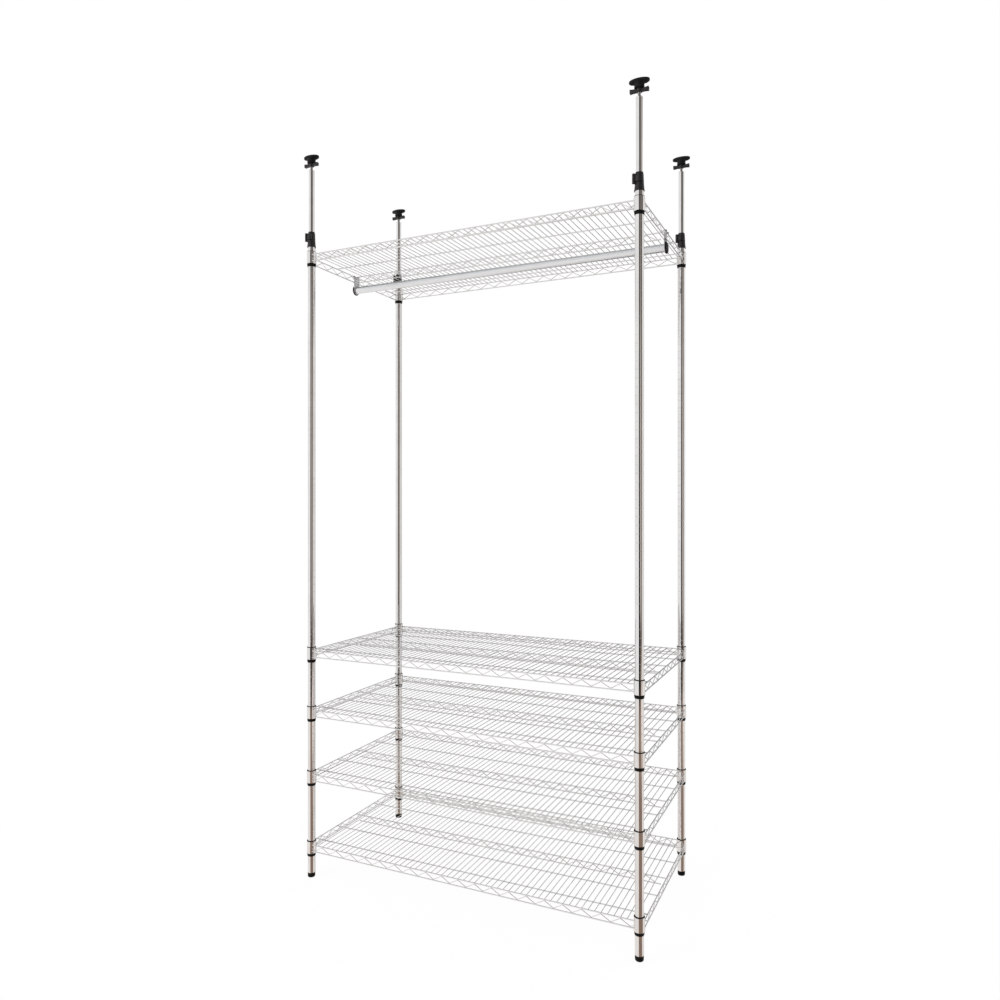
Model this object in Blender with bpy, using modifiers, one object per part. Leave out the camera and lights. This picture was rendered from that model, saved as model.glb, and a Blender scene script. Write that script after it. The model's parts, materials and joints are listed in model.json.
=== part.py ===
# Chrome wire shelving unit held between floor and ceiling by four telescopic tension poles.
# Metres, +Z up. The origin is on the floor under the middle of the unit, X runs along the shelves
# and -Y is the front.

import math

import bmesh
import bpy
from mathutils import Matrix

# Clearances and facets
GAP = 0.0003
ROUND_SIDES = 8
SMOOTH_ANGLE = math.radians(50)
WELD_DISTANCE = 0.000001

# Posts and levelling feet
POST_SPACING_X = 1.158
POST_SPACING_Y = 0.556
POST_DIAMETER = 0.0254
POST_WALL = 0.0012
POST_LENGTH = 2.174
INSERT_HEIGHT = 0.020
FOOT_HEIGHT = 0.016
FOOT_SOLE_DIAMETER = 0.017
FOOT_CHAMFER_HEIGHT = 0.005
FOOT_STEM_DIAMETER = 0.008
FOOT_STEM_LENGTH = 0.024

# Heights of the shelves, at the tops of their collars
LOWEST_SHELF_TOP = 0.1245
BAY_HEIGHTS = (0.243, 0.222, 0.2045)
TOP_SHELF_DROP = 0.0283

# Tapered split sleeves between posts and collars
SLEEVE_TOP_WALL = 0.0007
SLEEVE_BOTTOM_WALL = 0.0011
SLEEVE_RIM = 0.0015
SLEEVE_LIP = 0.0105
SLEEVE_SLIT = 0.0015

# Welded shelves
COLLAR_WALL = 0.0015
COLLAR_BELOW_TRUSS = 0.0085
TOP_RAIL_DROP = 0.011
TRUSS_HEIGHT = 0.0215
RAIL_DIAMETER = 0.0045
WIRE_DIAMETER = 0.0029
FRONT_RAIL_INSET = 0.0064
SIDE_RAIL_INSET = 0.0034
CROSS_WIRE_PITCH = 0.0195
CROSS_WIRE_MARGIN = 0.010
LONG_WIRE_PITCH = 0.117
LONG_WIRE_MARGIN = 0.020
ZIGZAG_PERIOD = 0.0585

# Telescopic poles
POLE_DIAMETER = 0.019
POLE_WALL = 0.001
POLE_LENGTH = 0.600
POLE_SHOWING = 0.2148
POLE_FLANGE_WIDTH = 0.0005
POLE_FLANGE_HEIGHT = 0.003
POLE_PLUG_HEIGHT = 0.015
POLE_BUSH_HEIGHT = 0.012

# Pole clamps and their levers
CLAMP_HEIGHT = 0.0528
CLAMP_SOCKET_DEPTH = 0.0122
CLAMP_RIM_WALL = 0.0021
CLAMP_SOCKET_WALL = 0.0009
CLAMP_BODY_WALL = 0.0032
CLAMP_NECK_WALL = 0.0018
CLAMP_LIP_WALL = 0.0011
CLAMP_SHOULDER_RISE = 0.010
CLAMP_LIP_HEIGHT = 0.0035
LUG_BASE = 0.0186
LUG_THICKNESS = 0.005
LUG_WIDTH = 0.0076
LEVER_HEIGHT = 0.0178
LEVER_THICKNESS = 0.003
LEVER_CLEARANCE = 0.0006
LEVER_SWEEP = math.radians(80)
LEVER_TIP = 0.0025
LEVER_DIRECTION = math.radians(224)
LEVER_ARC_STEPS = 4
PIN_DIAMETER = 0.003
PIN_STANDOFF = 0.0012

# Jack handles and ceiling pads
BOLT_DIAMETER = 0.0086
BOLT_LENGTH = 0.060
BOLT_NECK = 0.0125
HANDLE_LENGTH = 0.055
HANDLE_WIDTH = 0.009
HANDLE_END_WIDTH = 0.011
HANDLE_FLARE_LENGTH = 0.009
HANDLE_HEIGHT = 0.0104
HUB_DIAMETER = 0.017
HUB_HEIGHT = 0.011
SPIGOT_DIAMETER = 0.011
SPIGOT_LENGTH = 0.011
BOSS_DIAMETER = 0.029
BOSS_HEIGHT = 0.0162
PAD_LENGTH = 0.060
PAD_WIDTH = 0.031
PAD_THICKNESS = 0.008
PAD_EDGE = 0.0022
PAD_SIDES = 12

# Hanger bar under the top shelf
BAR_DIAMETER = 0.025
BAR_WALL = 0.001
BAR_DROP = 0.064
BRACKET_THICKNESS = 0.002
BRACKET_WIDTH = 0.032
HOOK_WIDTH = 0.0055
HOOK_SPACING = 0.025
HOOK_THICKNESS = 0.002
HOOK_EMBEDDING = 0.0002
HOOK_ROOT = 0.006
HOOK_LIP = 0.0037
BRACKET_WIRE_CLEARANCE = 0.0026
CAP_DIAMETER = 0.036
CAP_THICKNESS = 0.005
CAP_SPIGOT_LENGTH = 0.012

# Sizes that follow from those above
HALF_X = POST_SPACING_X / 2
HALF_Y = POST_SPACING_Y / 2
POST_RADIUS = POST_DIAMETER / 2
POST_BASE = FOOT_HEIGHT + GAP
POST_TOP = POST_BASE + POST_LENGTH
TOP_SHELF_TOP = POST_TOP - TOP_SHELF_DROP
SLEEVE_BORE = POST_RADIUS + GAP
COLLAR_RADIUS = SLEEVE_BORE + SLEEVE_BOTTOM_WALL + GAP + COLLAR_WALL
COLLAR_HEIGHT = TOP_RAIL_DROP + TRUSS_HEIGHT + COLLAR_BELOW_TRUSS
SLEEVE_LENGTH = SLEEVE_RIM + COLLAR_HEIGHT + SLEEVE_LIP
RAIL_HALF = RAIL_DIAMETER * math.sqrt(math.pi) / 4
WIRE_RADIUS = WIRE_DIAMETER * math.sqrt(math.pi / (3 * math.sqrt(3)))
FRONT_RAIL_Y = HALF_Y + COLLAR_RADIUS - FRONT_RAIL_INSET
SIDE_RAIL_X = HALF_X + COLLAR_RADIUS - SIDE_RAIL_INSET
CROSS_WIRE_Z = WIRE_RADIUS / 4 - TOP_RAIL_DROP
LONG_WIRE_Z = CROSS_WIRE_Z - WIRE_RADIUS - GAP - RAIL_HALF
POLE_RADIUS = POLE_DIAMETER / 2
CLAMP_BASE = POST_TOP + GAP - CLAMP_SOCKET_DEPTH
CLAMP_BORE = POLE_RADIUS + GAP
CLAMP_BODY_RADIUS = CLAMP_BORE + CLAMP_BODY_WALL
KNUCKLE_RADIUS = LUG_WIDTH / 2
PIVOT_RADIUS = CLAMP_BODY_RADIUS + PIN_STANDOFF + KNUCKLE_RADIUS
LEVER_BASE = LUG_BASE + LUG_THICKNESS + GAP
POLE_TOP = CLAMP_BASE + CLAMP_HEIGHT + POLE_SHOWING
HUB_BASE = POLE_TOP + BOLT_NECK
PAD_BASE = HUB_BASE + HUB_HEIGHT + GAP
BAR_Z = TOP_SHELF_TOP - BAR_DROP
BRACKET_X = SIDE_RAIL_X - RAIL_HALF - GAP - BRACKET_THICKNESS
BAR_LENGTH = 2 * (BRACKET_X + BRACKET_THICKNESS)
CAP_X = BRACKET_X + BRACKET_THICKNESS + GAP

CORNERS = {
    "front_left": (-HALF_X, -HALF_Y),
    "front_right": (HALF_X, -HALF_Y),
    "back_left": (-HALF_X, HALF_Y),
    "back_right": (HALF_X, HALF_Y),
}


def clear_scene():
    """Start from an empty scene."""
    for existing in list(bpy.data.objects):
        bpy.data.objects.remove(existing)


def new_collection(name):
    collection = bpy.data.collections.new(name)
    bpy.context.scene.collection.children.link(collection)
    return collection


def new_material(name, colour, roughness, metallic):
    material = bpy.data.materials.new(name)
    material.use_nodes = True
    shader = material.node_tree.nodes["Principled BSDF"]
    shader.inputs["Base Color"].default_value = (*colour, 1)
    shader.inputs["Roughness"].default_value = roughness
    shader.inputs["Metallic"].default_value = metallic
    return material


def shape_object(name, data):
    """A construction shape, which is joined or cut into a piece and then removed."""
    shape = bpy.data.objects.new(name, data)
    shape.hide_render = True
    shape.display_type = "WIRE"
    cutters.objects.link(shape)
    return shape


def baked(shape):
    """The mesh of a shape as its modifiers or bevel leave it; the shape itself is removed."""
    depsgraph = bpy.context.evaluated_depsgraph_get()
    mesh = bpy.data.meshes.new_from_object(shape.evaluated_get(depsgraph))
    bm = bmesh.new()
    bm.from_mesh(mesh)
    bmesh.ops.remove_doubles(bm, verts=bm.verts, dist=WELD_DISTANCE)
    bmesh.ops.recalc_face_normals(bm, faces=bm.faces)
    bm.to_mesh(mesh)
    bm.free()
    bpy.data.objects.remove(shape)
    return mesh


def combined(name, base, added=(), cut=()):
    """A mesh made from a base shape, the shapes welded on to it and the shapes cut out of it."""
    for tools, operation in ((added, "UNION"), (cut, "DIFFERENCE")):
        for tool in tools:
            boolean = base.modifiers.new(tool.name, "BOOLEAN")
            boolean.operation = operation
            boolean.object = tool
    mesh = baked(base)
    for tool in (*added, *cut):
        bpy.data.objects.remove(tool)
    mesh.name = name
    return mesh


def turned(name, profile, closed=False, at=(0, 0, 0), sides=ROUND_SIDES):
    """A shape turned about Z from (radius, height) points that run down its outer side."""
    mesh = bpy.data.meshes.new(name)
    bm = bmesh.new()
    points = [bm.verts.new((radius, 0, height)) for radius, height in profile]
    for start, end in zip(points, points[1:]):
        bm.edges.new((start, end))
    if closed:
        bm.edges.new((points[-1], points[0]))
    bm.to_mesh(mesh)
    bm.free()
    shape = shape_object(name, mesh)
    shape.location = at
    screw = shape.modifiers.new("Turn", "SCREW")
    screw.steps = sides
    screw.render_steps = sides
    screw.use_merge_vertices = True
    screw.merge_threshold = WELD_DISTANCE
    return shape


def cylinder(name, radius, bottom, top, at=(0, 0), sides=ROUND_SIDES):
    profile = [(0, top), (radius, top), (radius, bottom), (0, bottom)]
    return turned(name, profile, at=(*at, 0), sides=sides)


def turning_bore(radius):
    """The corner radius of a faceted bore in which a faceted shaft turns without touching."""
    return (radius + GAP) / math.cos(math.pi / ROUND_SIDES)


def plate(name, outline, thickness, holes=(), placing=Matrix()):
    """A flat outline in XY, extruded evenly to both sides, then turned and moved into place."""
    curve = bpy.data.curves.new(name, "CURVE")
    curve.dimensions = "2D"
    curve.fill_mode = "BOTH"
    curve.extrude = thickness / 2
    for loop in (outline, *holes):
        spline = curve.splines.new("POLY")
        spline.points.add(len(loop) - 1)
        spline.use_cyclic_u = True
        for point, (x, y) in zip(spline.points, loop):
            point.co = (x, y, 0, 1)
    mesh = baked(shape_object(name, curve))
    mesh.transform(placing)
    return shape_object(name, mesh)


def arc(radius, start, sweep, steps, centre=(0, 0)):
    """Points along an arc, both ends included."""
    angles = [start + sweep * step / steps for step in range(steps + 1)]
    return [(centre[0] + radius * math.cos(a), centre[1] + radius * math.sin(a)) for a in angles]


def section(name, sides, radius):
    """The cross-section of a wire, with one flat side turned up."""
    curve = bpy.data.curves.new(name, "CURVE")
    curve.dimensions = "2D"
    spline = curve.splines.new("POLY")
    spline.points.add(sides - 1)
    spline.use_cyclic_u = True
    first = math.pi / 2 + math.pi / sides
    for index, point in enumerate(spline.points):
        angle = first + 2 * math.pi * index / sides
        point.co = (radius * math.cos(angle), radius * math.sin(angle), 0, 1)
    return shape_object(name, curve)


def swept(name, paths, profile):
    """Wires along paths of straight stretches, as one shape of separate closed bodies."""
    curve = bpy.data.curves.new(name, "CURVE")
    curve.dimensions = "3D"
    curve.twist_mode = "Z_UP"
    curve.bevel_mode = "OBJECT"
    curve.bevel_object = profile
    curve.use_fill_caps = True
    for path in paths:
        spline = curve.splines.new("POLY")
        spline.points.add(len(path) - 1)
        for point, place in zip(spline.points, path):
            point.co = (*place, 1)
    mesh = baked(shape_object(name, curve))
    return shape_object(name, mesh)


def zigzag(half_span, crest_in_middle, low, high):
    """(distance, height) along a truss wire that rises and falls evenly about its middle."""
    turns = math.floor((half_span - WIRE_DIAMETER) / (ZIGZAG_PERIOD / 2))
    inner = [step * ZIGZAG_PERIOD / 2 for step in range(-turns, turns + 1)]
    points = []
    for distance in (-half_span, *inner, half_span):
        phase = abs(distance) / ZIGZAG_PERIOD + (0 if crest_in_middle else 0.5)
        fall = 1 - abs(1 - 2 * (phase - math.floor(phase)))
        points.append((distance, high - (high - low) * fall))
    return points


def evenly_spaced(half_span, pitch):
    """Places a pitch apart, one of them in the middle, that fit within a span."""
    count = math.floor(half_span / pitch)
    return [step * pitch for step in range(-count, count + 1)]


def shelf_rails(rail_section):
    """Top and bottom rails of the four edge trusses, which end inside the collars."""
    paths = []
    for rise in (0, -TRUSS_HEIGHT):
        for side in (-1, 1):
            y = side * FRONT_RAIL_Y
            z = rise - TOP_RAIL_DROP
            paths.append([(-HALF_X, y, z), (HALF_X, y, z)])
            x = side * SIDE_RAIL_X
            z = rise + LONG_WIRE_Z
            paths.append([(x, -HALF_Y, z), (x, HALF_Y, z)])
    return swept("rails", paths, rail_section)


def shelf_trusses(wire_section):
    """Zigzag wires of the four edge trusses, clear of the rails and held by the collars."""
    drop = RAIL_HALF + GAP + WIRE_RADIUS / 2
    rise = RAIL_HALF + GAP + WIRE_RADIUS - TRUSS_HEIGHT
    paths = []
    for side in (-1, 1):
        front = zigzag(HALF_X, True, rise - TOP_RAIL_DROP, -drop - TOP_RAIL_DROP)
        paths.append([(x, side * FRONT_RAIL_Y, z) for x, z in front])
        end = zigzag(HALF_Y, False, rise + LONG_WIRE_Z, LONG_WIRE_Z - drop)
        paths.append([(side * SIDE_RAIL_X, y, z) for y, z in end])
    return swept("trusses", paths, wire_section)


def shelf_mesh():
    """One welded shelf, with its collars' tops at z = 0."""
    rail_section = section("rail_section", 4, RAIL_HALF * math.sqrt(2))
    wire_section = section("wire_section", 3, WIRE_RADIUS)
    cross_paths = []
    for x in evenly_spaced(HALF_X - CROSS_WIRE_MARGIN, CROSS_WIRE_PITCH):
        beside_collar = abs(x) < HALF_X - COLLAR_RADIUS - WIRE_RADIUS
        end = FRONT_RAIL_Y if beside_collar else HALF_Y
        cross_paths.append([(x, -end, CROSS_WIRE_Z), (x, end, CROSS_WIRE_Z)])
    long_paths = []
    for y in evenly_spaced(HALF_Y - LONG_WIRE_MARGIN, LONG_WIRE_PITCH):
        long_paths.append([(-SIDE_RAIL_X, y, LONG_WIRE_Z), (SIDE_RAIL_X, y, LONG_WIRE_Z)])
    added = [
        swept("cross_wires", cross_paths, wire_section),
        swept("long_wires", long_paths, rail_section),
        shelf_trusses(wire_section),
    ]
    taper = (SLEEVE_BOTTOM_WALL - SLEEVE_TOP_WALL) / SLEEVE_LENGTH
    bore_top = SLEEVE_BORE + SLEEVE_TOP_WALL + GAP
    bores = []
    for name, place in CORNERS.items():
        added.append(cylinder("collar_" + name, COLLAR_RADIUS, -COLLAR_HEIGHT, 0, at=place))
        ends = [(bore_top, SLEEVE_RIM), (bore_top + taper * SLEEVE_LENGTH, SLEEVE_RIM - SLEEVE_LENGTH)]
        profile = [(0, SLEEVE_RIM), *ends, (0, SLEEVE_RIM - SLEEVE_LENGTH)]
        bores.append(turned("bore_" + name, profile, at=(*place, 0)))
    mesh = combined("wire_shelf", shelf_rails(rail_section), added, bores)
    bpy.data.objects.remove(rail_section)
    bpy.data.objects.remove(wire_section)
    return mesh


def post_mesh():
    """Tube with the threaded insert for the levelling foot fixed in its lower end, from z = 0."""
    inner = POST_RADIUS - POST_WALL
    stem_bore = FOOT_STEM_DIAMETER / 2 + GAP
    profile = [
        (inner, POST_LENGTH),
        (POST_RADIUS, POST_LENGTH),
        (POST_RADIUS, 0),
        (stem_bore, 0),
        (stem_bore, INSERT_HEIGHT),
        (inner, INSERT_HEIGHT),
    ]
    return combined("post", turned("post", profile, closed=True))


def foot_mesh():
    """Levelling foot with a domed sole, standing on z = 0, and its stem."""
    stem_top = FOOT_HEIGHT + FOOT_STEM_LENGTH
    profile = [
        (0, stem_top),
        (FOOT_STEM_DIAMETER / 2, stem_top),
        (FOOT_STEM_DIAMETER / 2, FOOT_HEIGHT),
        (POST_RADIUS, FOOT_HEIGHT),
        (POST_RADIUS, FOOT_CHAMFER_HEIGHT),
        (FOOT_SOLE_DIAMETER / 2, 0),
        (0, 0),
    ]
    return combined("foot", turned("foot", profile))


def sleeve_mesh():
    """Tapered sleeve with one slit, its collar's top at z = 0."""
    top = SLEEVE_RIM
    bottom = SLEEVE_RIM - SLEEVE_LENGTH
    profile = [
        (SLEEVE_BORE, top),
        (SLEEVE_BORE + SLEEVE_TOP_WALL, top),
        (SLEEVE_BORE + SLEEVE_BOTTOM_WALL, bottom),
        (SLEEVE_BORE, bottom),
    ]
    reach = SLEEVE_BORE + SLEEVE_BOTTOM_WALL + GAP
    corners = [(0, -SLEEVE_SLIT / 2), (reach, -SLEEVE_SLIT / 2), (reach, SLEEVE_SLIT / 2), (0, SLEEVE_SLIT / 2)]
    turn = Matrix.Rotation(math.pi / ROUND_SIDES, 4, "Z")
    slit = plate("slit", corners, 2 * SLEEVE_LENGTH, placing=turn @ Matrix.Translation((0, 0, bottom)))
    return combined("sleeve", turned("sleeve", profile, closed=True), cut=[slit])


def clamp_mesh():
    """Moulded clamp, from z = 0 up, bored for the post below and the pole above, with two pin lugs."""
    profile = [
        (0, CLAMP_HEIGHT),
        (CLAMP_BORE + CLAMP_LIP_WALL, CLAMP_HEIGHT),
        (CLAMP_BORE + CLAMP_NECK_WALL, CLAMP_HEIGHT - CLAMP_LIP_HEIGHT),
        (CLAMP_BODY_RADIUS, LUG_BASE + LUG_THICKNESS / 2),
        (SLEEVE_BORE + CLAMP_SOCKET_WALL, CLAMP_SHOULDER_RISE),
        (SLEEVE_BORE + CLAMP_RIM_WALL, 0),
        (0, 0),
    ]
    lugs = []
    pin_hole = PIN_DIAMETER / 2 + GAP
    centre = (PIVOT_RADIUS, 0)
    outline = [(CLAMP_BORE, -KNUCKLE_RADIUS), *arc(KNUCKLE_RADIUS, -math.pi / 2, math.pi, 3, centre)]
    outline.append((CLAMP_BORE, KNUCKLE_RADIUS))
    turn = Matrix.Rotation(LEVER_DIRECTION, 4, "Z")
    for number in (0, 1):
        rise = LUG_BASE + LUG_THICKNESS / 2 + number * (LUG_THICKNESS + LEVER_HEIGHT + 2 * GAP)
        holes = [arc(pin_hole, 0, 2 * math.pi * 5 / 6, 5, centre)]
        placing = turn @ Matrix.Translation((0, 0, rise))
        lugs.append(plate(f"lug_{number}", outline, LUG_THICKNESS, holes, placing))
    socket_end = CLAMP_SOCKET_DEPTH
    bore_profile = [
        (0, CLAMP_HEIGHT + POLE_RADIUS),
        (CLAMP_BORE, CLAMP_HEIGHT + POLE_RADIUS),
        (CLAMP_BORE, socket_end),
        (SLEEVE_BORE, socket_end),
        (SLEEVE_BORE, -POLE_RADIUS),
        (0, -POLE_RADIUS),
    ]
    bore = turned("bore", bore_profile)
    return combined("clamp", turned("clamp", profile), lugs, [bore])


def lever_mesh():
    """Curved clamp lever that wraps the clamp, with its knuckle and pin on the Z axis through 0."""
    inner = CLAMP_BODY_RADIUS + LEVER_CLEARANCE
    outer = inner + LEVER_THICKNESS
    tip_turn = LEVER_TIP / outer
    outline = arc(inner, 0, LEVER_SWEEP, LEVER_ARC_STEPS)
    tip_angle = LEVER_SWEEP + tip_turn
    outline.append(((outer + LEVER_TIP) * math.cos(tip_angle), (outer + LEVER_TIP) * math.sin(tip_angle)))
    outline += reversed(arc(outer, 0, LEVER_SWEEP, LEVER_ARC_STEPS))
    middle = LEVER_BASE + LEVER_HEIGHT / 2
    turn = Matrix.Rotation(LEVER_DIRECTION, 4, "Z")
    to_pin = turn @ Matrix.Translation((-PIVOT_RADIUS, 0, 0))
    grip_height = LEVER_HEIGHT - 2 * GAP
    grip = plate("grip", outline, grip_height, placing=to_pin @ Matrix.Translation((0, 0, middle)))
    knuckle = cylinder("knuckle", KNUCKLE_RADIUS, LEVER_BASE, LEVER_BASE + LEVER_HEIGHT, sides=8)
    pin_top = LUG_BASE + 2 * LUG_THICKNESS + LEVER_HEIGHT + 2 * GAP
    pin = cylinder("pin", PIN_DIAMETER / 2, LUG_BASE, pin_top, sides=6)
    return combined("clamp_lever", knuckle, [grip, pin])


def pole_mesh():
    """Inner tube hanging down from z = 0, with its threaded plug, top flange and guide bush."""
    inner = POLE_RADIUS - POLE_WALL
    bolt_bore = turning_bore(BOLT_DIAMETER / 2)
    flange = POLE_RADIUS + POLE_FLANGE_WIDTH
    bush = POST_RADIUS - POST_WALL - GAP
    profile = [
        (bolt_bore, 0),
        (flange, 0),
        (flange, -POLE_FLANGE_HEIGHT),
        (POLE_RADIUS, -POLE_FLANGE_HEIGHT),
        (POLE_RADIUS, POLE_BUSH_HEIGHT - POLE_LENGTH),
        (bush, POLE_BUSH_HEIGHT - POLE_LENGTH),
        (bush, -POLE_LENGTH),
        (inner, -POLE_LENGTH),
        (inner, -POLE_PLUG_HEIGHT),
        (bolt_bore, -POLE_PLUG_HEIGHT),
    ]
    return combined("pole", turned("pole", profile, closed=True))


def handle_mesh():
    """Jack handle moulded on its bolt, the underside of the hub at z = 0."""
    spigot_top = HUB_HEIGHT + SPIGOT_LENGTH
    profile = [
        (0, spigot_top),
        (SPIGOT_DIAMETER / 2, spigot_top),
        (SPIGOT_DIAMETER / 2, HUB_HEIGHT),
        (HUB_DIAMETER / 2, HUB_HEIGHT),
        (HUB_DIAMETER / 2, 0),
        (BOLT_DIAMETER / 2, 0),
        (BOLT_DIAMETER / 2, -BOLT_LENGTH),
        (0, -BOLT_LENGTH),
    ]
    end = HANDLE_LENGTH / 2
    waist = end - HANDLE_FLARE_LENGTH
    right = [(waist, -HANDLE_WIDTH / 2), (end, -HANDLE_END_WIDTH / 2)]
    right += [(end, HANDLE_END_WIDTH / 2), (waist, HANDLE_WIDTH / 2)]
    left = [(-x, -y) for x, y in right]
    middle = Matrix.Translation((0, 0, HUB_HEIGHT / 2))
    arms = plate("arms", right + left, HANDLE_HEIGHT, placing=middle)
    return combined("jack_handle", turned("hub", profile), [arms])


def pad_mesh():
    """Oval ceiling pad on its boss, the underside of the boss at z = 0."""
    mesh = bpy.data.meshes.new("oval")
    bm = bmesh.new()
    bmesh.ops.create_cone(bm, cap_ends=True, segments=PAD_SIDES, radius1=1, radius2=1, depth=1)
    bmesh.ops.scale(bm, vec=(PAD_LENGTH / 2, PAD_WIDTH / 2, PAD_THICKNESS), verts=bm.verts)
    bmesh.ops.translate(bm, vec=(0, 0, BOSS_HEIGHT + PAD_THICKNESS / 2), verts=bm.verts)
    rims = [edge for edge in bm.edges if abs(edge.verts[0].co.z - edge.verts[1].co.z) < WELD_DISTANCE]
    bmesh.ops.bevel(bm, geom=rims, offset=PAD_EDGE, segments=1, affect="EDGES", profile=0.5)
    bm.to_mesh(mesh)
    bm.free()
    oval = shape_object("oval", mesh)
    boss = cylinder("boss", BOSS_DIAMETER / 2, 0, BOSS_HEIGHT + PAD_THICKNESS / 2)
    socket = cylinder("socket", turning_bore(SPIGOT_DIAMETER / 2), -SPIGOT_LENGTH, SPIGOT_LENGTH + GAP)
    return combined("ceiling_pad", oval, [boss], [socket])


def bar_mesh():
    """Hanger bar along X, its axis through 0."""
    radius = BAR_DIAMETER / 2
    half = BAR_LENGTH / 2
    profile = [(radius - BAR_WALL, half), (radius, half), (radius, -half), (radius - BAR_WALL, -half)]
    mesh = combined("hanger_bar", turned("bar", profile, closed=True))
    mesh.transform(Matrix.Rotation(math.pi / 2, 4, "Y"))
    return mesh


def cap_mesh():
    """Cap of the bar's right end: a disc from x = 0 outwards and a spigot inwards."""
    spigot = BAR_DIAMETER / 2 - BAR_WALL - GAP
    profile = [
        (0, CAP_THICKNESS),
        (CAP_DIAMETER / 2 - CAP_THICKNESS / 4, CAP_THICKNESS),
        (CAP_DIAMETER / 2, CAP_THICKNESS / 2),
        (CAP_DIAMETER / 2, 0),
        (spigot, 0),
        (spigot, -CAP_SPIGOT_LENGTH),
        (0, -CAP_SPIGOT_LENGTH),
    ]
    mesh = combined("bar_cap", turned("cap", profile))
    mesh.transform(Matrix.Rotation(math.pi / 2, 4, "Y"))
    return mesh


def bracket_mesh():
    """Bracket of the bar's right end: a plate round the bar with two hooks over the side rail."""
    top = BAR_DROP + LONG_WIRE_Z - RAIL_HALF - BRACKET_WIRE_CLEARANCE
    half = BRACKET_WIDTH / 2
    upright = Matrix.Rotation(math.pi / 2, 4, "Z") @ Matrix.Rotation(math.pi / 2, 4, "X")
    outline = [(-half, top), *arc(half, math.pi, math.pi, 8), (half, top)]
    step = 2 * math.pi / ROUND_SIDES
    hole = arc(BAR_DIAMETER / 2 + GAP, -math.pi / 2, 2 * math.pi - step, ROUND_SIDES - 1)
    middle = Matrix.Translation((BRACKET_X + BRACKET_THICKNESS / 2, 0, 0))
    web = plate("web", outline, BRACKET_THICKNESS, [hole], middle @ upright)
    rail_top = BAR_DROP + LONG_WIRE_Z + RAIL_HALF + GAP
    leg_in = BRACKET_X + HOOK_EMBEDDING
    leg_out = BRACKET_X + BRACKET_THICKNESS - HOOK_EMBEDDING
    lip_in = SIDE_RAIL_X + RAIL_HALF + GAP
    lip_out = lip_in + HOOK_THICKNESS
    hook_outline = [
        (leg_in, top - HOOK_ROOT),
        (leg_out, top - HOOK_ROOT),
        (leg_out, rail_top),
        (lip_in, rail_top),
        (lip_in, rail_top - HOOK_LIP),
        (lip_out, rail_top - HOOK_LIP),
        (lip_out, rail_top + HOOK_THICKNESS),
        (leg_in, rail_top + HOOK_THICKNESS),
    ]
    standing = Matrix.Rotation(math.pi / 2, 4, "X")
    hooks = []
    for side in (-1, 1):
        place = Matrix.Translation((0, side * HOOK_SPACING / 2, 0))
        hooks.append(plate("hook", hook_outline, HOOK_WIDTH, placing=place @ standing))
    return combined("bar_bracket", web, hooks)


def add_piece(name, mesh, material, at, parent=None):
    """A named piece of the unit at a place given relative to its parent."""
    piece = bpy.data.objects.new(name, mesh)
    parts.objects.link(piece)
    piece.location = at
    piece.parent = parent
    if not mesh.materials:
        mesh.materials.append(material)
        mesh.shade_smooth()
        mesh.set_sharp_from_angle(angle=SMOOTH_ANGLE)
    return piece


def add_empty(name, at):
    empty = bpy.data.objects.new(name, None)
    parts.objects.link(empty)
    empty.location = at
    empty.empty_display_size = POST_DIAMETER
    return empty


def shelf_tops():
    """Heights of the collars' tops, from the lowest shelf to the top one."""
    heights = [LOWEST_SHELF_TOP]
    for bay in BAY_HEIGHTS:
        heights.append(heights[-1] + bay)
    return [*heights, TOP_SHELF_TOP]


def build_shelves():
    mesh = shelf_mesh()
    for number, top in enumerate(shelf_tops(), start=1):
        add_piece(f"shelf_{number}", mesh, chrome_wire, (0, 0, top))


def build_corners():
    """Everything that is centred on a post: the same pieces at each corner."""
    post = post_mesh()
    foot = foot_mesh()
    sleeve = sleeve_mesh()
    clamp = clamp_mesh()
    lever = lever_mesh()
    pole = pole_mesh()
    handle = handle_mesh()
    pad = pad_mesh()
    pivot_x = PIVOT_RADIUS * math.cos(LEVER_DIRECTION)
    pivot_y = PIVOT_RADIUS * math.sin(LEVER_DIRECTION)
    for name, (x, y) in CORNERS.items():
        corner = add_empty("corner_" + name, (x, y, 0))
        add_piece("post_" + name, post, chrome_tube, (0, 0, POST_BASE), corner)
        add_piece("foot_" + name, foot, black_foot, (0, 0, 0), corner)
        for number, top in enumerate(shelf_tops(), start=1):
            add_piece(f"sleeve_{number}_{name}", sleeve, black_sleeve, (0, 0, top), corner)
        add_piece("clamp_" + name, clamp, black_moulding, (0, 0, CLAMP_BASE), corner)
        add_piece("clamp_lever_" + name, lever, black_lever, (pivot_x, pivot_y, CLAMP_BASE), corner)
        tube = add_piece("pole_" + name, pole, chrome_pole, (0, 0, POLE_TOP), corner)
        top_pad = add_piece("ceiling_pad_" + name, pad, black_pad, (0, 0, PAD_BASE - POLE_TOP), tube)
        add_piece("jack_handle_" + name, handle, black_handle, (0, 0, HUB_BASE - PAD_BASE), top_pad)


def build_hanger():
    """Hanger bar with the bracket and cap of each end, the left ones turned round."""
    axis = add_empty("hanger_axis", (0, 0, BAR_Z))
    add_piece("hanger_bar", bar_mesh(), chrome_bar, (0, 0, 0), axis)
    bracket = bracket_mesh()
    cap = cap_mesh()
    for name, side in (("left", -1), ("right", 1)):
        turn = 0 if side > 0 else math.pi
        hook = add_piece("bar_bracket_" + name, bracket, chrome_plate, (0, 0, 0), axis)
        hook.rotation_euler.z = turn
        end_cap = add_piece("bar_cap_" + name, cap, black_cap, (side * CAP_X, 0, 0), axis)
        end_cap.rotation_euler.z = turn


clear_scene()
parts = new_collection("wire_shelving_unit")
cutters = new_collection("cutters")

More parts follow.
